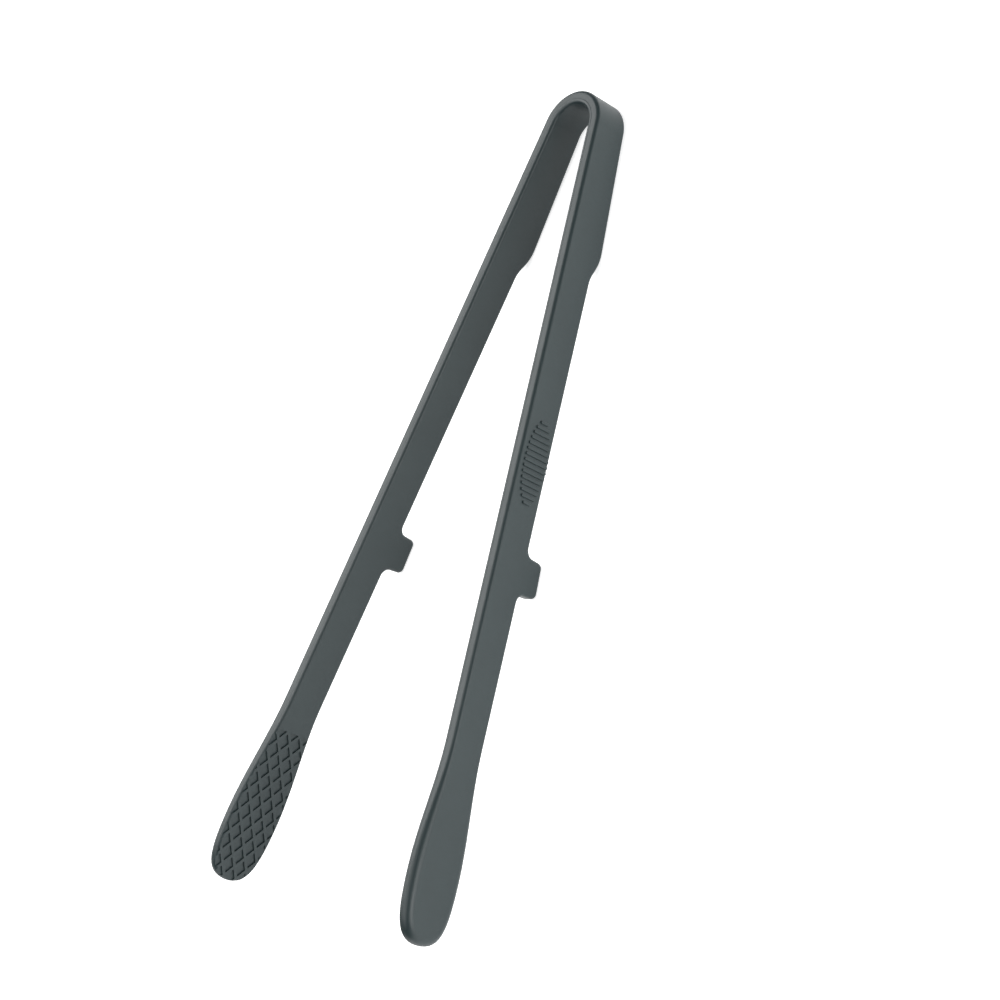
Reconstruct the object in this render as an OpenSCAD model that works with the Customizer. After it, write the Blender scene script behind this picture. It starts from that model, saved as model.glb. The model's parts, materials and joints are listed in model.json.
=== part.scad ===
// Spring loaded kitchen tongs: two padded arms that a sprung steel bow holds apart.
// The tongs lie on their side as on a worktop, on the two rest tabs and the two shoulders, with
// the tips held clear of the surface. +X runs to the tips, +Y to the right arm, +Z up.
// Each arm is drawn in its own frame: x along the arm from the bow, y through its thickness
// (outwards is plus), z across its width, with the front edge at 0 and the back edge below it.

/* [Overall] */
// Length from the back of the bow to the ends of the tips
tongs_length = 290; // [260:1:320]
// Lean of each arm away from the middle line when nothing squeezes the tongs
arm_angle = 8.4; // [6:0.1:10]
// Radius of the bow to the middle of its thickness
bow_radius = 10.7; // [9:0.1:13]

/* [Jacket] */
// Thickness of an arm over its jacket
jacket_thickness = 4.7; // [4.2:0.1:6]
// Rounding of the jacket's long edges
edge_radius = 1.15; // [0.8:0.05:1.4]
// Width of an arm between its shoulder and its tip
arm_width = 13.6; // [13:0.1:16]
// Width of the jacket round the bow
bow_width = 13.9; // [13:0.1:14]
// Greatest width of the head, at the shoulder
shoulder_width = 16.5; // [16.4:0.1:19]
// Distance from the bow to the shoulder
shoulder_at = 45; // [41:0.5:52]
// Length over which the shoulder steps down to the arm
shoulder_run = 7; // [6:0.5:12]

/* [Rest tab] */
// Distance from the bow to the middle of the rest tab
tab_at = 156.2; // [140:0.1:170]
// Depth of the rest tab's foot below the front edge
tab_depth = 21.4; // [20:0.1:24]
// Length of the foot, before its corners are rounded
foot_length = 12; // [9:0.1:15]
// Extra length of the tab at each end of its root
tab_lean = 0.6; // [0.3:0.1:2]
// Rounding of the foot's corners
foot_radius = 2; // [1.8:0.1:3]
// Rounding where the tab grows out of the arm
root_radius = 3; // [1.5:0.1:4]

/* [Tip] */
// Length of the widened tip
tip_length = 66; // [56:1:72]
// Distance from the end of the tip to its widest place
tip_widest = 22.5; // [20:0.5:28]
// How far the tip's front edge rises above the arm's
tip_rise = 3.7; // [2:0.1:4.5]
// How far the tip's back edge drops below the arm's
tip_drop = 3.8; // [2:0.1:4.5]
// Rounding of the tip's outer edge
tip_edge_radius = 2.8; // [1.6:0.1:3]
// Length of one diamond of the gripping pattern
diamond_length = 7.6; // [6:0.1:9]
// Width of one diamond of the gripping pattern
diamond_width = 5.45; // [4:0.05:7]
// Width of a ridge between the diamonds
ridge_width = 1.1; // [0.8:0.05:1.4]
// Depth of the diamonds below the tip's inner face
diamond_depth = 0.5; // [0.2:0.05:0.6]
// Distance from the start of the tip to the first diamond
diamond_start = 11.5; // [4:0.5:14]
// Plain margin between the diamonds and the tip's outline
diamond_margin = 1.4; // [1.4:0.1:3]

/* [Finger grip] */
// Number of finger ribs on the outside of an arm
rib_count = 15; // [9:2:17]
// Distance from one rib to the next
rib_pitch = 1.98; // [1.7:0.01:2.2]
// Width of a rib
rib_width = 1; // [0.7:0.05:1.2]
// Height of a rib above the arm
rib_height = 0.5; // [0.3:0.05:0.7]
// Length of the middle rib
rib_length = 10.8; // [8:0.1:11.2]
// Distance from the bow to the middle rib
grip_at = 119.6; // [110:0.1:130]

/* [Core] */
// Thickness of the stiff core inside an arm
core_thickness = 2.5; // [2.3:0.1:2.6]
// Jacket between the core's edge and the jacket's edge
core_cover = 1.7; // [1.5:0.1:1.8]
// Distance from the bow to the start of the core
core_start = 8; // [6:0.5:12]

/* [Spring] */
// Thickness of the spring strip
strip_thickness = 1; // [0.8:0.05:1.1]
// Width of the spring strip
strip_width = 8.6; // [7:0.1:9]
// Length of the strip's leg inside each arm
leg_length = 45; // [42:1:50]
// Radius of a rivet's shank
rivet_radius = 1.5; // [1.2:0.1:1.8]
// Radius of a rivet's head
rivet_head_radius = 2.6; // [2.2:0.1:3.2]
// Thickness of a rivet's head
rivet_head_thickness = 0.6; // [0.4:0.05:0.65]
// Distance from the bow to the first rivet
first_rivet_at = 19; // [16:0.5:24]
// Distance between the two rivets of an arm
rivet_spacing = 18; // [14:0.5:20]
// Gap between the spring and the pieces that move past it
strip_clearance = 0.05; // [0.03:0.01:0.1]
// Gap between a rivet's shank and the hole in the strip
shank_clearance = 0.1; // [0.05:0.01:0.15]

/* [Hidden] */

SILICONE = "#5c6466";
NYLON = "#2b2d2e";
STEEL = "#b9bcbe";

LEFT = -1;
RIGHT = 1;
ARC_STEPS = 4;
EDGE_STEPS = 3;
SWELL_STEPS = 7;
CAP_STEPS = 9;
OVERSHOOT = 1;
// Overlap of the spring's legs with its bow, so that they are one piece
WELD = 0.02;
// How deep the ribs are rooted in the jacket
RIB_ROOT = 0.3;
// Greatest share of the shoulder's step that each of its two roundings may take
ROUNDING_SHARE = 0.48;
shoulder_rounding = 14;
step_rounding = 10;
// The end of the tip bends like a rounded rectangle: shares of each quarter taken by its handles
fullness_along = 0.65;
fullness_across = 0.86;
swell_ease = 0.34;
grip_z = -7.45;
// The ribs' ends lie on an ellipse this much longer than the row of ribs
grip_round = 1.067;
// Height of one row of the ridges' crossings
first_crossing_z = -1.8;

half_thickness = jacket_thickness / 2;
half_angle = 90 - arm_angle;
bow_centre_x = bow_radius + half_thickness;
arm_x = bow_centre_x - bow_radius * sin(arm_angle);
arm_y = bow_radius * cos(arm_angle);
strip_z = -bow_width / 2;

// The arm is as long as the tongs' length asks
tip_end = (tongs_length - arm_x - (half_thickness - edge_radius) * sin(arm_angle)) / cos(arm_angle);
tip_start = tip_end - tip_length;
widest_at = tip_end - tip_widest;
tip_front_z = tip_rise;
tip_back_z = -arm_width - tip_drop;
tip_middle_z = (tip_front_z + tip_back_z) / 2;

// The back edge's corners, before they are rounded; foot_slope makes the foot lie flat when the
// tongs rest on the tabs' feet and the shoulders
bow_corner = [0, -bow_width];
shoulder_corner = [shoulder_at, -shoulder_width];
step_corner = [shoulder_at + shoulder_run, -arm_width];
arm_ahead = step_corner + [shoulder_run, 0];
step_room = ROUNDING_SHARE * norm(step_corner - shoulder_corner);
shoulder_radius = fitting_radius(bow_corner, shoulder_corner, step_corner, shoulder_rounding, step_room);
step_radius = fitting_radius(shoulder_corner, step_corner, arm_ahead, step_rounding, step_room);
shoulder_centre = corner_centre(bow_corner, shoulder_corner, step_corner, shoulder_radius);
foot_middle = [tab_at, -tab_depth];
rest_slope = let (
    away = shoulder_centre - foot_middle
) atan2(away.y, -away.x) - asin(shoulder_radius / norm(away));
foot_slope = tan(rest_slope);
foot_half = foot_length / 2;
root_half = foot_half + tab_lean;

// Lean of the whole tongs when they rest, and the shifts that bring the middle of their outer
// box to X = 0 and the surface they rest on to Z = 0
lean = atan(foot_slope / cos(arm_angle));
foot_x = arm_x + tab_at * cos(arm_angle);
flat_half = half_thickness - edge_radius;
lift = tab_depth * cos(lean) - foot_x * sin(lean) + flat_half * sin(arm_angle) * sin(lean);
low_x = edge_radius * (cos(lean) + sin(lean) - 1);
high_x = max([for (p = plate_outline())
    (arm_x + p.x * cos(arm_angle) + flat_half * sin(arm_angle)) * cos(lean) - p.y * sin(lean)]);
middle_x = (low_x + high_x) / 2;

function unit(v) = v / norm(v);
function ease(t) = let (u = min(max(t, 0), 1)) u * u * (3 - 2 * u);

// The wanted radius at corner b of the path a, b, c, or less if its arc would pass the room it has
function fitting_radius(a, b, c, wanted, room) =
    min(wanted, room * tan(acos(unit(a - b) * unit(c - b)) / 2));

// Centre of the arc that rounds corner b of the path a, b, c
function corner_centre(a, b, c, radius) = let (
    u = unit(a - b),
    v = unit(c - b)
) b + unit(u + v) * radius / sin(acos(u * v) / 2);

// Points along the arc that rounds corner b of the path a, b, c
function corner_arc(a, b, c, radius) = let (
    u = unit(a - b),
    v = unit(c - b),
    reach = radius / tan(acos(u * v) / 2),
    o = corner_centre(a, b, c, radius),
    from = b + u * reach - o,
    to = b + v * reach - o,
    start = atan2(from.y, from.x),
    sweep = atan2(cross(from, to), from * to)
) [for (i = [0:ARC_STEPS]) let (turn = start + sweep * i / ARC_STEPS) o + radius * [cos(turn), sin(turn)]];

// Points on a Bezier curve from a to d, leaving out a itself
function bezier(a, b, c, d, steps) = [for (i = [1:steps]) let (t = i / steps)
    pow(1 - t, 3) * a + 3 * pow(1 - t, 2) * t * b + 3 * (1 - t) * t * t * c + pow(t, 3) * d];

// One edge of the widened tip, from the arm's edge at start_z to the end of the tip
function tip_edge(start_z, wide_z) = let (
    swell = [(widest_at - tip_start) * swell_ease, 0],
    along = [tip_widest * fullness_along, 0],
    across = [0, (wide_z - tip_middle_z) * fullness_across],
    start = [tip_start, start_z],
    wide = [widest_at, wide_z],
    end = [tip_end, tip_middle_z]
) concat(
    bezier(start, start + swell, wide - swell, wide, SWELL_STEPS),
    bezier(wide, wide + along, end + across, end, CAP_STEPS)
);

// The back edge as far as the start of the tip, with its corners rounded
function back_edge() = let (
    root_1 = [tab_at - root_half, -arm_width],
    foot_1 = [tab_at - foot_half, -tab_depth + foot_half * foot_slope],
    foot_2 = [tab_at + foot_half, -tab_depth - foot_half * foot_slope],
    root_2 = [tab_at + root_half, -arm_width],
    tip = [tip_start, -arm_width]
) concat(
    [bow_corner],
    corner_arc(bow_corner, shoulder_corner, step_corner, shoulder_radius),
    corner_arc(shoulder_corner, step_corner, root_1, step_radius),
    corner_arc(step_corner, root_1, foot_1, root_radius),
    corner_arc(root_1, foot_1, foot_2, foot_radius),
    corner_arc(foot_1, foot_2, root_2, foot_radius),
    corner_arc(foot_2, root_2, tip, root_radius),
    [tip]
);

// Half outlines from the bow to the end of the tip, with equal numbers of points
function back_half() = concat(back_edge(), tip_edge(-arm_width, tip_back_z));
function front_half() = concat([for (p = back_edge()) [p.x, 0]], tip_edge(0, tip_front_z));

// The whole outline of an arm: out along the front edge and home along the back edge
function plate_outline() = let (
    back = back_half(),
    last = len(back) - 1
) concat(front_half(), [for (i = [last - 1:-1:0]) back[i]]);

// Point i of an outline moved inwards; the two points at the bow stay in the bow's end plane
function moved_in(points, i, distance) = let (
    last = len(points) - 1,
    here = points[i],
    before = i > 0 ? unit(here - points[i - 1]) : unit(points[1] - here),
    after = i < last ? unit(points[i + 1] - here) : before,
    side = [before.y + after.y, -before.x - after.x]
) i == 0 || i == last
    ? [here.x, here.y - distance / before.x]
    : here + side * distance / (side * [before.y, -before.x]);

function inset(points, distance) = [for (i = [0:len(points) - 1]) moved_in(points, i, distance)];

// Edge rounding on the outside of an arm grows towards the tip
function outer_radius(x) = edge_radius
    + (tip_edge_radius - edge_radius) * ease((x - tip_start) / (widest_at - tip_start));

// A plate with rounded edges, as rings of its outline from its inner face to its outer face
module rounded_plate(points) {
    n = len(points);
    half = (n - 1) / 2;
    inner = [for (k = [0:EDGE_STEPS]) let (turn = 90 - 90 * k / EDGE_STEPS)
        [for (i = [0:n - 1]) let (p = moved_in(points, i, edge_radius * (1 - cos(turn))))
            [p.x, -half_thickness + edge_radius * (1 - sin(turn)), p.y]]];
    outer = [for (k = [0:EDGE_STEPS]) let (turn = 90 * k / EDGE_STEPS)
        [for (i = [0:n - 1]) let (
            radius = outer_radius(points[i].x),
            p = moved_in(points, i, radius * (1 - cos(turn)))
        ) [p.x, half_thickness - radius * (1 - sin(turn)), p.y]]];
    rings = concat(inner, outer);
    top = len(rings) - 1;
    sides = [for (k = [0:top - 1], i = [0:n - 2], part = [0, 1])
        part == 0
            ? [k * n + i, (k + 1) * n + i, (k + 1) * n + i + 1]
            : [k * n + i, (k + 1) * n + i + 1, k * n + i + 1]];
    inner_face = [for (i = [0:half - 1]) [i, i + 1, n - 2 - i, n - 1 - i]];
    outer_face = [for (f = inner_face) [for (j = [3:-1:0]) top * n + f[j]]];
    bow_face = concat([for (k = [top:-1:0]) k * n], [for (k = [0:top]) k * n + n - 1]);
    points_of_rings = [for (ring = rings, p = ring) p];
    polyhedron(points = points_of_rings, faces = concat(sides, inner_face, outer_face, [bow_face]));
}

// An outline in the arm's own frame, given a thickness from y = low to y = high
module slab(points, low, high) {
    translate([0, high, 0])
        rotate([90, 0, 0])
            linear_extrude(height = high - low)
                polygon(points);
}

// Everything stands as the tongs rest
module resting() {
    translate([-middle_x, 0, lift])
        rotate([0, -lean, 0])
            children();
}

module on_arm(side) {
    resting()
        mirror([0, side == LEFT ? 1 : 0, 0])
            translate([arm_x, arm_y, 0])
                rotate([0, 0, arm_angle])
                    children();
}

module round_bow() {
    resting()
        translate([bow_centre_x, 0, 0])
            rotate([0, 0, 90 + arm_angle])
                rotate_extrude(angle = 2 * half_angle, $fn = 96)
                    translate([bow_radius, 0])
                        children();
}

// Cross section of the jacket round the bow
module bow_section() {
    translate([-half_thickness, edge_radius - bow_width])
        square([jacket_thickness, bow_width - 2 * edge_radius]);
    translate([-flat_half, -bow_width])
        square([2 * flat_half, bow_width]);
    for (across = [-1, 1], z = [-edge_radius, edge_radius - bow_width])
        translate([across * flat_half, z])
            circle(r = edge_radius, $fn = 48);
}

module strip_section() {
    translate([-strip_thickness / 2, strip_z - strip_width / 2])
        square([strip_thickness, strip_width]);
}

module rivet_hole(radius) {
    rotate([90, 0, 0])
        cylinder(r = radius, h = jacket_thickness, center = true, $fn = 48);
}

module at_rivets() {
    for (x = [first_rivet_at, first_rivet_at + rivet_spacing])
        translate([x, 0, strip_z])
            children();
}

// The space that the spring's leg needs in an arm
module leg_space(start, end, outward) {
    gap = strip_clearance;
    translate([start, -strip_thickness / 2 - gap, strip_z - strip_width / 2 - gap])
        cube([end - start, strip_thickness / 2 + gap + outward, strip_width + 2 * gap]);
}

module core_envelope() {
    intersection() {
        slab(inset(plate_outline(), core_cover), -core_thickness / 2, core_thickness / 2);
        translate([core_start, -half_thickness, -2 * tab_depth])
            cube([tip_end, jacket_thickness, 4 * tab_depth]);
    }
}

// Ribs that stand on the outside of an arm, for a finger or the thumb
module finger_ribs() {
    reach = (rib_count - 1) / 2;
    height = RIB_ROOT + rib_height;
    for (i = [-reach:reach]) {
        half = rib_length / 2 * sqrt(1 - pow(i / (reach * grip_round), 2)) - rib_width / 2;
        translate([grip_at + i * rib_pitch, half_thickness - RIB_ROOT, grip_z]) {
            for (z = [-half, half])
                translate([0, 0, z])
                    rotate([-90, 0, 0])
                        cylinder(r = rib_width / 2, h = height, $fn = 24);
            translate([-rib_width / 2, 0, -half])
                cube([rib_width, height, 2 * half]);
        }
    }
}

// Diamonds sunk in the inside of a tip, with crossed ridges left standing between them
module diamonds() {
    slant = atan2(diamond_width, diamond_length);
    reach = ceil((tip_length + tip_widest) / diamond_length);
    difference() {
        slab(inset(plate_outline(), diamond_margin), -jacket_thickness, diamond_depth - half_thickness);
        translate([-OVERSHOOT, -2 * jacket_thickness, -2 * tab_depth])
            cube([tip_start + diamond_start + OVERSHOOT, 2 * jacket_thickness, 4 * tab_depth]);
        for (way = [-1, 1], k = [0:reach])
            translate([tip_start + k * diamond_length, -half_thickness, first_crossing_z])
                rotate([0, way * slant, 0])
                    cube([2 * tip_length, 2 * jacket_thickness, ridge_width], center = true);
    }
}

module spring_bow() {
    color(STEEL) {
        round_bow()
            strip_section();
        for (side = [LEFT, RIGHT])
            on_arm(side)
                difference() {
                    translate([-WELD, -strip_thickness / 2, strip_z - strip_width / 2])
                        cube([leg_length + WELD, strip_thickness, strip_width]);
                    at_rivets()
                        rivet_hole(rivet_radius + shank_clearance);
                }
    }
}

module bow_jacket() {
    color(SILICONE)
        round_bow()
            difference() {
                bow_section();
                strip_section();
            }
}

module core(side) {
    color(NYLON)
        on_arm(side)
            difference() {
                core_envelope();
                leg_space(core_start - OVERSHOOT, leg_length + OVERSHOOT, jacket_thickness);
                at_rivets()
                    rivet_hole(rivet_radius);
            }
}

module jacket(side) {
    color(SILICONE)
        on_arm(side)
            difference() {
                union() {
                    rounded_plate(plate_outline());
                    finger_ribs();
                }
                core_envelope();
                leg_space(-OVERSHOOT, core_start + OVERSHOOT, strip_thickness / 2 + strip_clearance);
                diamonds();
            }
}

module rivet(side, at) {
    seat = core_thickness / 2 + strip_thickness / 2 + strip_clearance;
    color(STEEL)
        on_arm(side)
            translate([at, -core_thickness / 2, strip_z])
                rotate([-90, 0, 0]) {
                    cylinder(r = rivet_radius, h = seat + rivet_head_thickness / 2, $fn = 48);
                    translate([0, 0, seat])
                        cylinder(r = rivet_head_radius, h = rivet_head_thickness, $fn = 48);
                }
}

module left_core() { core(LEFT); }
module left_jacket() { jacket(LEFT); }
module left_rivet_1() { rivet(LEFT, first_rivet_at); }
module left_rivet_2() { rivet(LEFT, first_rivet_at + rivet_spacing); }
module right_core() { core(RIGHT); }
module right_jacket() { jacket(RIGHT); }
module right_rivet_1() { rivet(RIGHT, first_rivet_at); }
module right_rivet_2() { rivet(RIGHT, first_rivet_at + rivet_spacing); }

spring_bow();
bow_jacket();
left_core();
left_jacket();
left_rivet_1();
left_rivet_2();
right_core();
right_jacket();
right_rivet_1();
right_rivet_2();
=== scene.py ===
# %% [markdown]
# # Spring loaded kitchen tongs
# Cooking tongs in one soft jacket: two flat arms that a sprung bow holds apart, oval tips with a
# diamond grip on their inner faces, finger ribs on the outside of each arm, and a small tab on
# each back edge that keeps the tips off the worktop. The CAD parts are loaded first, as a fixed
# frame. Everything made here takes its place from them.

import json
import math

import bmesh
import bpy
from mathutils import Matrix, Vector


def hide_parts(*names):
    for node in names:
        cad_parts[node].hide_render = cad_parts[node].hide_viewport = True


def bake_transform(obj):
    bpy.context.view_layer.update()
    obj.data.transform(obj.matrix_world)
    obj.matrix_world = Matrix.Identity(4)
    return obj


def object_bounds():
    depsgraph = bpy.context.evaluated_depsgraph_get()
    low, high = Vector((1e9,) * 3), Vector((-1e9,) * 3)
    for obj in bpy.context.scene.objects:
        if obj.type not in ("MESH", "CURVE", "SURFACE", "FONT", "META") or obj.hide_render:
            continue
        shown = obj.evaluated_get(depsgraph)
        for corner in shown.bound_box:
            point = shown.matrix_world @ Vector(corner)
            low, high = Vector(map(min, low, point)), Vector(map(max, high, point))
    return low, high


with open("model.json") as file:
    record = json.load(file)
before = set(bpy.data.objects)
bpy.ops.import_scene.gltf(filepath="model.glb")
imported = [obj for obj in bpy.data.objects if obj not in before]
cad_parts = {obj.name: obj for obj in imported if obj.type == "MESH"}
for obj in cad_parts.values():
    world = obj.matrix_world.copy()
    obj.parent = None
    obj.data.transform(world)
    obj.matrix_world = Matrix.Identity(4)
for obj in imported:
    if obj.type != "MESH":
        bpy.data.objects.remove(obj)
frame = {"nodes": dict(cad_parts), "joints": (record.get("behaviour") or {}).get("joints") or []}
cad_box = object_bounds()
print("CAD box, in metres:", [[round(v, 4) for v in corner] for corner in cad_box])

# %% [markdown]
# ## Sizes
# The tongs are worked out in millimetres, in the frame of one arm: x runs along the arm from the
# bow, y through its thickness with the outside at plus, and z across its width, with the plain
# front edge at 0. These are the same few sizes that the CAD model is driven by.

# %% Sizes in millimetres
MM = 0.001

TONGS_LENGTH = 290
ARM_ANGLE = math.radians(8.4)
BOW_RADIUS = 10.7
THICKNESS = 4.7
EDGE_RADIUS = 1.15
ARM_WIDTH = 13.6
BOW_WIDTH = 13.9
SHOULDER_WIDTH = 16.5
SHOULDER_AT = 45
SHOULDER_RUN = 7
SHOULDER_RADIUS = 14
STEP_RADIUS = 10

TAB_AT = 156.2
TAB_DEPTH = 21.4
FOOT_LENGTH = 12
TAB_LEAN = 0.6
FOOT_RADIUS = 2
ROOT_RADIUS = 3

TIP_LENGTH = 66
TIP_WIDEST = 22.5
TIP_RISE = 3.7
TIP_DROP = 3.8
TIP_EDGE_RADIUS = 2.8

half_thickness = THICKNESS / 2
bow_centre_x = BOW_RADIUS + half_thickness
arm_x = bow_centre_x - BOW_RADIUS * math.sin(ARM_ANGLE)
arm_y = BOW_RADIUS * math.cos(ARM_ANGLE)
flat_half = half_thickness - EDGE_RADIUS
tip_end = (TONGS_LENGTH - arm_x - flat_half * math.sin(ARM_ANGLE)) / math.cos(ARM_ANGLE)
tip_start = tip_end - TIP_LENGTH
widest_at = tip_end - TIP_WIDEST
tip_middle = (TIP_RISE - ARM_WIDTH - TIP_DROP) / 2
print("an arm is", round(tip_end, 2), "mm long from the bow to its tip")

# %% [markdown]
# ## Where an arm stands
# Each arm turns on a hinge in the middle of its half of the bow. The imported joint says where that
# hinge is and how far the tongs lean as they rest, so the joint alone is enough to carry a point
# from the arm's own frame into the frame that everything shares.

# %% From an arm's frame to the shared frame
joints = {joint["child"]: joint for joint in frame["joints"]}
hinge = joints["left_arm"]
lean = math.atan2(-hinge["axis"][0], hinge["axis"][2])
quarter_middle = 2 / math.pi * BOW_RADIUS
hinge_before_lean = Vector((bow_centre_x - quarter_middle, -quarter_middle, -BOW_WIDTH / 2)) * MM
leaning = Matrix.Rotation(-lean, 4, "Y")
resting = Matrix.Translation(Vector(hinge["pos_m"]) - leaning @ hinge_before_lean) @ leaning


def arm_frame(side):
    """Carries millimetres in an arm's frame to metres in the shared frame; side is 1 or -1."""
    mirrored = Matrix.Diagonal((1, side, 1, 1))
    stand = Matrix.Translation((arm_x, arm_y, 0)) @ Matrix.Rotation(ARM_ANGLE, 4, "Z")
    return resting @ Matrix.Scale(MM, 4) @ mirrored @ stand


SIDES = {"right": 1, "left": -1}
print("the tongs lean by", round(math.degrees(lean), 2), "degrees as they rest")

# %% [markdown]
# ## The outline of an arm
# The front edge is straight. The back edge flares from the bow to a shoulder, steps in to the
# arm, carries the rest tab, and swells with the front edge into the oval tip. Straight runs need
# only their ends. Each corner is an arc of a named radius, and the tip is four Bezier curves,
# whose long handles give it the blunt end of a spatula and not the pointed one of an ellipse.

# %% Arcs and curves
ARC_STEPS = 6
SWELL_STEPS = 14
CAP_STEPS = 16
FULLNESS_ALONG = 0.65
FULLNESS_ACROSS = 0.86
SWELL_EASE = 0.34


def corner_centre(a, b, c, radius):
    """The middle of the arc that rounds corner b of the path a, b, c."""
    u, v = (a - b).normalized(), (c - b).normalized()
    return b + (u + v).normalized() * radius / math.sin(u.angle(v) / 2)


def corner_arc(a, b, c, radius):
    """Points on the arc that rounds corner b of the path a, b, c."""
    u, v = (a - b).normalized(), (c - b).normalized()
    reach = radius / math.tan(u.angle(v) / 2)
    centre = corner_centre(a, b, c, radius)
    start, end = b + u * reach - centre, b + v * reach - centre
    sweep = math.atan2(start.cross(end), start.dot(end))
    turns = [Matrix.Rotation(sweep * i / ARC_STEPS, 2) for i in range(ARC_STEPS + 1)]
    return [centre + turn @ start for turn in turns]


def bezier(a, b, c, d, steps):
    """Points on a Bezier curve from a to d, without a itself."""
    shares = [i / steps for i in range(1, steps + 1)]
    return [(1 - t) ** 3 * a + 3 * (1 - t) ** 2 * t * b + 3 * (1 - t) * t * t * c + t**3 * d for t in shares]


def tip_edge(arm_z, wide_z):
    """One edge of the tip, from the arm's edge at arm_z to the end of the tip."""
    swell = (widest_at - tip_start) * SWELL_EASE
    start, wide, end = Vector((tip_start, arm_z)), Vector((widest_at, wide_z)), Vector((tip_end, tip_middle))
    ease = Vector((swell, 0))
    along = Vector((TIP_WIDEST * FULLNESS_ALONG, 0))
    across = Vector((0, (wide_z - tip_middle) * FULLNESS_ACROSS))
    return bezier(start, start + ease, wide - ease, wide, SWELL_STEPS) + bezier(
        wide, wide + along, end + across, end, CAP_STEPS
    )


# %% The whole outline
bow_corner = Vector((0, -BOW_WIDTH))
shoulder_corner = Vector((SHOULDER_AT, -SHOULDER_WIDTH))
step_corner = Vector((SHOULDER_AT + SHOULDER_RUN, -ARM_WIDTH))
away = corner_centre(bow_corner, shoulder_corner, step_corner, SHOULDER_RADIUS) - Vector((TAB_AT, -TAB_DEPTH))
foot_slope = math.tan(math.atan2(away.y, -away.x) - math.asin(SHOULDER_RADIUS / away.length))
foot_half = FOOT_LENGTH / 2


def arm_outline():
    """The outline of an arm, out along the front edge and home along the back edge."""
    root = [Vector((TAB_AT + way * (foot_half + TAB_LEAN), -ARM_WIDTH)) for way in (-1, 1)]
    foot = [Vector((TAB_AT + way * foot_half, -TAB_DEPTH - way * foot_half * foot_slope)) for way in (-1, 1)]
    tip = Vector((tip_start, -ARM_WIDTH))
    back = [bow_corner]
    back += corner_arc(bow_corner, shoulder_corner, step_corner, SHOULDER_RADIUS)
    back += corner_arc(shoulder_corner, step_corner, root[0], STEP_RADIUS)
    back += corner_arc(step_corner, root[0], foot[0], ROOT_RADIUS)
    back += corner_arc(root[0], foot[0], foot[1], FOOT_RADIUS)
    back += corner_arc(foot[0], foot[1], root[1], FOOT_RADIUS)
    back += corner_arc(foot[1], root[1], tip, ROOT_RADIUS)
    back += [tip] + tip_edge(-ARM_WIDTH, -ARM_WIDTH - TIP_DROP)
    front = [Vector((0, 0)), Vector((tip_start, 0))] + tip_edge(0, TIP_RISE)
    return front + back[-2::-1]


outline = arm_outline()
print("the outline has", len(outline), "points")

# %% [markdown]
# ## Helpers for working as by hand
# An operator acts on all that is selected, so each step starts from nothing selected, and picks
# what it needs by its place. Booleans and bevels are modifiers that are applied at once.

# %% Selecting and finishing
NEAR = 1e-4


def only(piece):
    """Makes one object the only selected one, and the active one."""
    bpy.ops.object.select_all(action="DESELECT")
    piece.select_set(True)
    bpy.context.view_layer.objects.active = piece


def pick(piece, kind, test):
    """In edit mode, selects the verts, edges or faces that pass a test, and nothing else."""
    bpy.ops.mesh.select_mode(type={"verts": "VERT", "edges": "EDGE", "faces": "FACE"}[kind])
    bpy.ops.mesh.select_all(action="DESELECT")
    mesh = bmesh.from_edit_mesh(piece.data)
    for item in getattr(mesh, kind):
        if test(item):
            item.select_set(True)
    mesh.select_flush_mode()
    bmesh.update_edit_mesh(piece.data)


def finish_with(piece, kind, **settings):
    """Adds a modifier with its settings and applies it."""
    only(piece)
    modifier = piece.modifiers.new(kind.title(), kind)
    for name, value in settings.items():
        setattr(modifier, name, value)
    bpy.ops.object.modifier_apply(modifier=modifier.name)


def joined(parts, name):
    """Joins objects into one, with a new name."""
    only(parts[0])
    for part in parts:
        part.select_set(True)
    bpy.ops.object.join()
    parts[0].name = name
    return parts[0]


def cut(piece, tool, operation="DIFFERENCE"):
    """Cuts a piece with a tool, which is then thrown away."""
    finish_with(piece, "BOOLEAN", operation=operation, object=tool, solver="EXACT", use_self=True)
    bpy.data.objects.remove(tool)


# %% [markdown]
# ## A flat plate from an outline
# The jacket is a flat moulding, so it starts as one flat face: a filled circle whose vertices are
# put on the outline. Extruding that face gives the thickness. The two halves of the mould meet
# where the edges are upright, clear of both rounded rims, so the extrusion stops there, and the
# ring is sunk a little to leave the fine parting line that every moulded edge has.

# %% Plate
PARTING_WIDTH = 0.22
PARTING_DEPTH = 0.05
PARTING_Y = -0.75


def flat_face(name, points, y):
    """A filled face on the points, all at one y."""
    bpy.ops.object.select_all(action="DESELECT")
    bpy.ops.mesh.primitive_circle_add(vertices=len(points), fill_type="NGON")
    face = bpy.context.active_object
    face.name = name
    for vertex, (along, across) in zip(face.data.vertices, points):
        vertex.co = (along, y, across)
    return face


def jacket_plate(name):
    """The plate of one arm, open at the bow, with its parting line."""
    plate = flat_face(name, outline, -half_thickness)
    bpy.ops.object.mode_set(mode="EDIT")
    bpy.ops.mesh.select_all(action="SELECT")
    half_line = PARTING_WIDTH / 2
    for step in (half_thickness + PARTING_Y - half_line, half_line, half_line,
                 half_thickness - PARTING_Y - half_line):
        bpy.ops.mesh.extrude_region_move(TRANSFORM_OT_translate={"value": (0, step, 0)})
    pick(plate, "faces", lambda face: all(vertex.co.x < NEAR for vertex in face.verts))
    bpy.ops.mesh.delete(type="FACE")
    bpy.ops.mesh.select_all(action="SELECT")
    bpy.ops.mesh.normals_make_consistent(inside=False)
    pick(plate, "verts", lambda vertex: abs(vertex.co.y - PARTING_Y) < NEAR)
    bpy.ops.transform.shrink_fatten(value=-PARTING_DEPTH)
    bpy.ops.object.mode_set(mode="OBJECT")
    return plate


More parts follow.
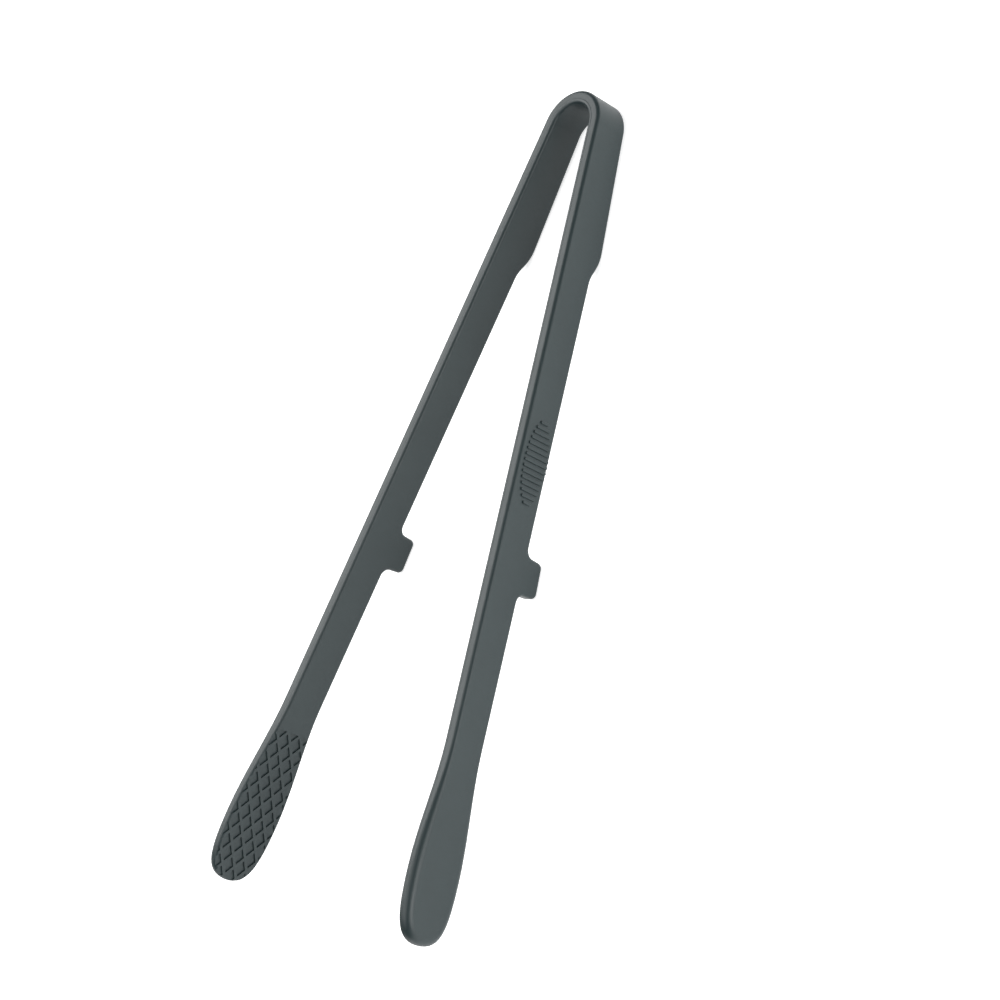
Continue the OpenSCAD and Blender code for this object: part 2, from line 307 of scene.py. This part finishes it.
# %% [markdown]
# ## Rounded edges
# A bevel with a weight on each edge rounds the rim. The weight is one value all along the arm,
# and grows on the outside of the tip, where the real moulding is rounder, to push under food.

# %% Rim
RIM_SEGMENTS = 6


def ease(t):
    t = min(max(t, 0), 1)
    return t * t * (3 - 2 * t)


def rim_radius(along, y):
    """The rounding of the rim: the same all along, but larger outside the tip."""
    growth = ease((along - tip_start) / (widest_at - tip_start)) if y > 0 else 0
    return EDGE_RADIUS + (TIP_EDGE_RADIUS - EDGE_RADIUS) * growth


def round_rim(plate):
    """Rounds the inner and outer rims of a plate."""
    weights = plate.data.attributes.new("bevel_weight_edge", "FLOAT", "EDGE")
    for edge in plate.data.edges:
        a, b = (plate.data.vertices[i].co for i in edge.vertices)
        on_rim = abs(a.y - b.y) < NEAR and abs(abs(a.y) - half_thickness) < NEAR
        if on_rim and max(a.x, b.x) > NEAR:
            weights.data[edge.index].value = rim_radius((a.x + b.x) / 2, a.y) / TIP_EDGE_RADIUS
    finish_with(plate, "BEVEL", limit_method="WEIGHT", width=TIP_EDGE_RADIUS, segments=RIM_SEGMENTS,
                profile=0.5, use_clamp_overlap=False)


# %% [markdown]
# ## The bow
# The jacket runs on round the bow without a break. The open end of the plate is spun round the
# middle of the bow, as far as the middle of its back, where the two arms' jackets meet.

# %% Bow
BOW_STEPS = 30


def spin_bow(piece):
    """Carries the open end of a piece round its half of the bow, and closes it."""
    bpy.ops.object.mode_set(mode="EDIT")
    pick(piece, "edges", lambda edge: edge.is_boundary)
    bpy.ops.mesh.spin(steps=BOW_STEPS, angle=math.pi / 2 - ARM_ANGLE, center=(0, -BOW_RADIUS, 0),
                      axis=(0, 0, -1))
    pick(piece, "edges", lambda edge: edge.is_boundary)
    bpy.ops.mesh.edge_face_add()
    bpy.ops.mesh.select_all(action="SELECT")
    bpy.ops.mesh.normals_make_consistent(inside=False)
    bpy.ops.object.mode_set(mode="OBJECT")


jacket = jacket_plate("jacket")
round_rim(jacket)
spin_bow(jacket)
print("plain jacket:", len(jacket.data.polygons), "faces")

# %% [markdown]
# ## Finger ribs
# Fifteen short ribs on the outside of each arm give the thumb and finger a hold. Their ends lie
# on an ellipse. A rib is a short round pin whose two halves are pulled apart, with the edge of
# its top rounded over, and it is joined to the jacket by a union.

# %% Ribs
RIB_COUNT = 15
RIB_PITCH = 1.98
RIB_WIDTH = 1
RIB_HEIGHT = 0.5
RIB_ROOT = 0.3
RIB_EDGE = 0.16
RIB_LENGTH = 10.8
GRIP_AT = 119.6
GRIP_Z = -7.45
GRIP_ROUND = 1.067


def finger_rib(at, length):
    """A rib with round ends, rooted in the outside of the arm."""
    height = RIB_ROOT + RIB_HEIGHT
    top = half_thickness + RIB_HEIGHT
    bpy.ops.object.select_all(action="DESELECT")
    bpy.ops.mesh.primitive_cylinder_add(
        vertices=24, radius=RIB_WIDTH / 2, depth=height,
        location=(at, top - height / 2, GRIP_Z), rotation=(math.pi / 2, 0, 0),
    )
    rib = bpy.context.active_object
    bpy.ops.object.transform_apply(location=True, rotation=True, scale=True)
    bpy.ops.object.mode_set(mode="EDIT")
    for way in (-1, 1):
        pick(rib, "verts", lambda vertex: (vertex.co.z - GRIP_Z) * way > NEAR)
        bpy.ops.transform.translate(value=(0, 0, way * (length - RIB_WIDTH) / 2))
    pick(rib, "edges", lambda edge: all(vertex.co.y > top - NEAR for vertex in edge.verts))
    bpy.ops.mesh.bevel(offset=RIB_EDGE, segments=3, profile=0.5)
    bpy.ops.object.mode_set(mode="OBJECT")
    return rib


reach = RIB_COUNT // 2
ribs = [
    finger_rib(GRIP_AT + i * RIB_PITCH, RIB_LENGTH * math.sqrt(1 - (i / (reach * GRIP_ROUND)) ** 2))
    for i in range(-reach, reach + 1)
]
cut(jacket, joined(ribs, "ribs"), "UNION")
print("with ribs:", len(jacket.data.polygons), "faces")

# %% [markdown]
# ## Diamond grip
# Rows of diamonds are sunk in the inner face of a tip, with crossed ridges left standing between
# them. The cutter is a block that bars have been cut out of, which leaves the ridges. The block
# has the tip's whole outline, so the outermost diamonds run out through the rounded rim, where
# the CAD tip keeps a plain margin.

# %% Diamond cutter
DIAMOND_LENGTH = 7.6
DIAMOND_WIDTH = 5.45
DIAMOND_DEPTH = 0.5
RIDGE_WIDTH = 1.1
DIAMOND_START = 11.5
FIRST_CROSSING_Z = -1.8

slant = math.atan2(DIAMOND_WIDTH, DIAMOND_LENGTH)


def ridge_bar(at, way):
    """A bar along one ridge, through the crossing at the given place."""
    bpy.ops.object.select_all(action="DESELECT")
    bpy.ops.mesh.primitive_cube_add(size=1, location=(at, -half_thickness, FIRST_CROSSING_Z),
                                    rotation=(0, way * slant, 0))
    bar = bpy.context.active_object
    bar.scale = (2 * TIP_LENGTH, 3 * THICKNESS, RIDGE_WIDTH)
    bpy.ops.object.transform_apply(location=True, rotation=True, scale=True)
    return bar


def grip_window():
    """A block over the whole inner face of the tip, from the first diamond on."""
    window = flat_face("window", outline, DIAMOND_DEPTH - half_thickness)
    bpy.ops.object.mode_set(mode="EDIT")
    bpy.ops.mesh.select_all(action="SELECT")
    bpy.ops.mesh.bisect(plane_co=(tip_start + DIAMOND_START, 0, 0), plane_no=(1, 0, 0),
                        clear_inner=True)
    bpy.ops.mesh.select_all(action="SELECT")
    bpy.ops.mesh.extrude_region_move(TRANSFORM_OT_translate={"value": (0, -THICKNESS, 0)})
    bpy.ops.mesh.select_all(action="SELECT")
    bpy.ops.mesh.normals_make_consistent(inside=False)
    bpy.ops.object.mode_set(mode="OBJECT")
    return window


last_bar = math.ceil((TIP_LENGTH + TIP_WIDEST) / DIAMOND_LENGTH)
bars = [ridge_bar(tip_start + k * DIAMOND_LENGTH, way) for way in (-1, 1) for k in range(last_bar + 1)]
diamonds = grip_window()
cut(diamonds, joined(bars, "bars"))
cut(jacket, diamonds)
print("with diamonds:", len(jacket.data.polygons), "faces")

# %% [markdown]
# ## Two jackets
# One jacket serves both arms: the left one is its mirror image. Each copy has its own mesh and
# is carried to its place. Mirroring turns a shape inside out, so the normals are made again.
# Edges sharper than a limit stay crisp and the rest is shaded smooth, and normals weighted by
# area keep the broad flat faces flat right up to the rounded rim.

# %% Copies in place
CRISP = math.radians(38)


def copy_to(piece, side, name):
    """A copy of a piece, with its own mesh, standing as the arm on that side does."""
    copy = piece.copy()
    copy.data = piece.data.copy()
    copy.name = name
    bpy.context.scene.collection.objects.link(copy)
    copy.data.transform(arm_frame(side))
    only(copy)
    bpy.ops.object.mode_set(mode="EDIT")
    bpy.ops.mesh.select_all(action="SELECT")
    bpy.ops.mesh.normals_make_consistent(inside=False)
    bpy.ops.object.mode_set(mode="OBJECT")
    bpy.ops.object.shade_smooth_by_angle(angle=CRISP)
    finish_with(copy, "WEIGHTED_NORMAL", keep_sharp=True, weight=60)
    return copy


skins = {name: copy_to(jacket, side, name + "_skin") for name, side in SIDES.items()}
bpy.data.objects.remove(jacket)

# %% [markdown]
# ## The spring
# Inside the bow runs a strip of spring steel, whose legs are riveted to the stiff cores. It
# starts as a thin box, one leg long, whose open end is spun round the bow like the jacket's.
# The holes clear the rivets.

# %% Strip
STRIP_THICKNESS = 1
STRIP_WIDTH = 8.6
LEG_LENGTH = 45
RIVET_AT = (19, 37)
HOLE_RADIUS = 1.6
STRIP_EDGE = 0.12

strip_z = -BOW_WIDTH / 2
bpy.ops.object.select_all(action="DESELECT")
bpy.ops.mesh.primitive_cube_add(size=1, location=(LEG_LENGTH / 2, 0, strip_z))
strip = bpy.context.active_object
strip.scale = (LEG_LENGTH, STRIP_THICKNESS, STRIP_WIDTH)
bpy.ops.object.transform_apply(location=True, rotation=True, scale=True)
bpy.ops.object.mode_set(mode="EDIT")
pick(strip, "edges", lambda edge: max(vertex.co.x for vertex in edge.verts) > NEAR)
bpy.ops.mesh.bevel(offset=STRIP_EDGE, segments=2, profile=0.5)
pick(strip, "faces", lambda face: all(vertex.co.x < NEAR for vertex in face.verts))
bpy.ops.mesh.delete(type="FACE")
bpy.ops.object.mode_set(mode="OBJECT")
spin_bow(strip)
for at in RIVET_AT:
    bpy.ops.object.select_all(action="DESELECT")
    bpy.ops.mesh.primitive_cylinder_add(
        vertices=32, radius=HOLE_RADIUS, depth=THICKNESS,
        location=(at, 0, strip_z), rotation=(math.pi / 2, 0, 0),
    )
    drill = bpy.context.active_object
    bpy.ops.object.transform_apply(location=True, rotation=True, scale=True)
    cut(strip, drill)
springs = {name: copy_to(strip, side, name + "_spring") for name, side in SIDES.items()}
bpy.data.objects.remove(strip)
print("spring:", len(springs["right"].data.polygons), "faces a half")

# %% [markdown]
# ## Baking the pieces and hiding the CAD ones
# Jacket and spring are soft or springy where they go round the bow and stiff along the arm. Their
# meshes are baked into the shared frame, and the CAD jackets and the spring's bow, which they stand
# in for, are hidden.

# %% Bake and hide
for name, side in SIDES.items():
    for piece in (skins[name], springs[name]):
        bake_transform(piece)
    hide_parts(name + "_jacket", "bow_jacket")
    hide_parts("spring_bow")

# %% [markdown]
# ## Materials
# Each material is built from a few shader nodes. One function adds a node, sets it and links
# what is given as another node's socket. Colours are written as hex and turned to linear.

# %% Material helpers
def linear(colour):
    """An sRGB hex colour as linear red, green, blue and alpha."""
    values = [int(colour[i : i + 2], 16) / 255 for i in (1, 3, 5)]
    return [v / 12.92 if v <= 0.04045 else ((v + 0.055) / 1.055) ** 2.4 for v in values] + [1]


def add(tree, kind, inputs, **settings):
    """Adds a node; an input is a value, or the output socket of another node."""
    made = tree.nodes.new(kind)
    for name, value in settings.items():
        setattr(made, name, value)
    for name, value in inputs.items():
        if isinstance(value, bpy.types.NodeSocket):
            tree.links.new(value, made.inputs[name])
        else:
            made.inputs[name].default_value = value
    return made


def new_material(name):
    """An empty material: its tree, its surface shader and its coordinates in millimetres."""
    material = bpy.data.materials.new(name)
    material.use_nodes = True
    tree = material.node_tree
    shader = tree.nodes["Principled BSDF"]
    place = add(tree, "ShaderNodeTexCoord", {})
    millimetres = add(tree, "ShaderNodeMapping",
                      {"Vector": place.outputs["Object"], "Scale": (1 / MM, 1 / MM, 1 / MM)})
    return material, tree, shader, millimetres.outputs["Vector"]


def paint(piece, material):
    """Gives a piece one material all over."""
    piece.data.materials.clear()
    piece.data.materials.append(material)


# %% [markdown]
# ### Silicone rubber, moulded matt
# Cooking silicone is cured in a spark-eroded steel mould, which leaves a fine even grain and no
# gloss. The colour goes right through, with faint clouds where the pigment was mixed in. Its
# IOR is a little under that of glass, and its broad soft sheen comes from a high roughness.

# %% Silicone
SILICONE = "#243234"
SILICONE_CLOUD = "#202d2f"
GRAIN_MM = 0.35
GRAIN_DEPTH_MM = 0.05
CLOUD_MM = 14

silicone, tree, shader, place = new_material("slate silicone, moulded matt")
clouds = add(tree, "ShaderNodeTexNoise",
             {"Vector": place, "Scale": 1 / CLOUD_MM, "Detail": 3, "Roughness": 0.55})
tint = add(tree, "ShaderNodeMix",
           {"Factor": clouds.outputs["Fac"], "A": linear(SILICONE), "B": linear(SILICONE_CLOUD)},
           data_type="RGBA")
grain = add(tree, "ShaderNodeTexNoise",
            {"Vector": place, "Scale": 1 / GRAIN_MM, "Detail": 4, "Roughness": 0.6})
rough = add(tree, "ShaderNodeMapRange", {"Value": clouds.outputs["Fac"], "To Min": 0.42, "To Max": 0.5})
bump = add(tree, "ShaderNodeBump",
           {"Height": grain.outputs["Fac"], "Strength": 0.12, "Distance": GRAIN_DEPTH_MM * MM})
shader.inputs["IOR"].default_value = 1.5
tree.links.new(tint.outputs["Result"], shader.inputs["Base Color"])
tree.links.new(rough.outputs["Result"], shader.inputs["Roughness"])
tree.links.new(bump.outputs["Normal"], shader.inputs["Normal"])
for skin in skins.values():
    paint(skin, silicone)

# %% [markdown]
# ### Spring steel and rivet wire
# Cold-rolled stainless strip keeps fine lines along its length. The rivets are drawn from wire
# of the same steel, so they share the finish.

# %% Stainless steel
STEEL = "#b9bcbe"
ROLL_LINE_MM = 0.08
ROLL_LINE_DEPTH_MM = 0.02

steel, tree, shader, place = new_material("stainless spring strip, rolled")
stretched = add(tree, "ShaderNodeMapping", {"Vector": place, "Scale": (0.02, 0.02, 1)})
lines = add(tree, "ShaderNodeTexNoise",
            {"Vector": stretched.outputs["Vector"], "Scale": 1 / ROLL_LINE_MM, "Detail": 3, "Roughness": 0.5})
rough = add(tree, "ShaderNodeMapRange", {"Value": lines.outputs["Fac"], "To Min": 0.22, "To Max": 0.4})
bump = add(tree, "ShaderNodeBump",
           {"Height": lines.outputs["Fac"], "Strength": 0.1, "Distance": ROLL_LINE_DEPTH_MM * MM})
shader.inputs["Base Color"].default_value = linear(STEEL)
shader.inputs["Metallic"].default_value = 1
tree.links.new(rough.outputs["Result"], shader.inputs["Roughness"])
tree.links.new(bump.outputs["Normal"], shader.inputs["Normal"])
for spring in springs.values():
    paint(spring, steel)
for name, node in frame["nodes"].items():
    if "rivet" in name:
        paint(node, steel)

# %% [markdown]
# ### Glass-filled nylon
# The stiff cores are moulded in black nylon with short glass fibres, which show as fine pale
# flecks in a surface that is otherwise dull.

# %% Nylon
NYLON = "#26282a"
FIBRE = "#4a4d4f"
FLECK_MM = 0.4

nylon, tree, shader, place = new_material("nylon, glass filled, moulded")
flecks = add(tree, "ShaderNodeTexVoronoi", {"Vector": place, "Scale": 1 / FLECK_MM})
amount = add(tree, "ShaderNodeMapRange",
             {"Value": flecks.outputs["Distance"],
              "From Min": 0, "From Max": 0.25, "To Min": 0.5, "To Max": 0})
tint = add(tree, "ShaderNodeMix",
           {"Factor": amount.outputs["Result"], "A": linear(NYLON), "B": linear(FIBRE)},
           data_type="RGBA")
shader.inputs["Roughness"].default_value = 0.55
shader.inputs["IOR"].default_value = 1.53
tree.links.new(tint.outputs["Result"], shader.inputs["Base Color"])
for name, node in frame["nodes"].items():
    if "core" in name:
        paint(node, nylon)

# %% [markdown]
# ## The table and the light
# The tongs lie on a white light table, which glows, as is used to picture things with no dark
# shadow round them. A dim light hangs above, a bright panel behind lights the front edges, and a
# low one lights the outside of the right arm but not the gap. The sky on the camera's side stays
# dark, so the rounded edges that face it are dark too.

# %% Floor
TABLE_GLOW = 0.75
SKY_GLOW = 0.1

bpy.ops.object.select_all(action="DESELECT")
bpy.ops.mesh.primitive_plane_add(size=6, location=(0, 0, 0))
floor = bpy.context.active_object
floor.name = "floor"
white, tree, shader, place = new_material("white acrylic light table")
shader.inputs["Base Color"].default_value = linear("#f2f2f2")
shader.inputs["Roughness"].default_value = 0.7
shader.inputs["Emission Color"].default_value = linear("#ffffff")
shader.inputs["Emission Strength"].default_value = TABLE_GLOW
paint(floor, white)


# %% Lights
def soft_light(name, place, aim, size, power):
    """A square area light that faces a point."""
    bpy.ops.object.light_add(type="AREA", location=place)
    light = bpy.context.active_object
    light.name = name
    light.rotation_euler = (Vector(aim) - Vector(place)).to_track_quat("-Z", "Y").to_euler()
    light.data.size = size
    light.data.energy = power


centre = (cad_box[0] + cad_box[1]) / 2
soft_light("overhead", (0.35, -0.1, 1.3), centre, 1.1, 10)
soft_light("back_panel", (-0.25, -1.1, 0.95), centre, 1.2, 19)
soft_light("side_panel", (0.0, 1.1, 0.22), centre, 0.5, 7)

world = bpy.data.worlds.new("studio")
bpy.context.scene.world = world
world.use_nodes = True
world.node_tree.nodes["Background"].inputs["Color"].default_value = linear("#ffffff")
world.node_tree.nodes["Background"].inputs["Strength"].default_value = SKY_GLOW
bpy.context.scene.view_settings.view_transform = "Standard"

# %% [markdown]
# ## Camera
# A long lens looks down at the outside of the right arm, turned on its side so that the tongs
# stand up in the picture with the bow at the top.

# %% Camera
VIEW_AZIMUTH = math.radians(171.679)
VIEW_ELEVATION = math.radians(41.381)
VIEW_ROLL = math.radians(-67.661)
VIEW_DISTANCE = 1.0189
VIEW_TARGET = Vector((-0.00177, 0.01631, 0.010))

back = Vector((
    math.sin(VIEW_AZIMUTH) * math.cos(VIEW_ELEVATION),
    -math.cos(VIEW_AZIMUTH) * math.cos(VIEW_ELEVATION),
    math.sin(VIEW_ELEVATION),
))
bpy.ops.object.camera_add(location=VIEW_TARGET + back * VIEW_DISTANCE)
camera = bpy.context.active_object
level = (-back).to_track_quat("-Z", "Y").to_matrix().to_4x4()
turned = Matrix.Rotation(VIEW_ROLL, 4, "Z")
camera.rotation_euler = (level @ turned).to_euler()
camera.data.lens = 110.69
camera.data.clip_end = 20
bpy.context.scene.camera = camera
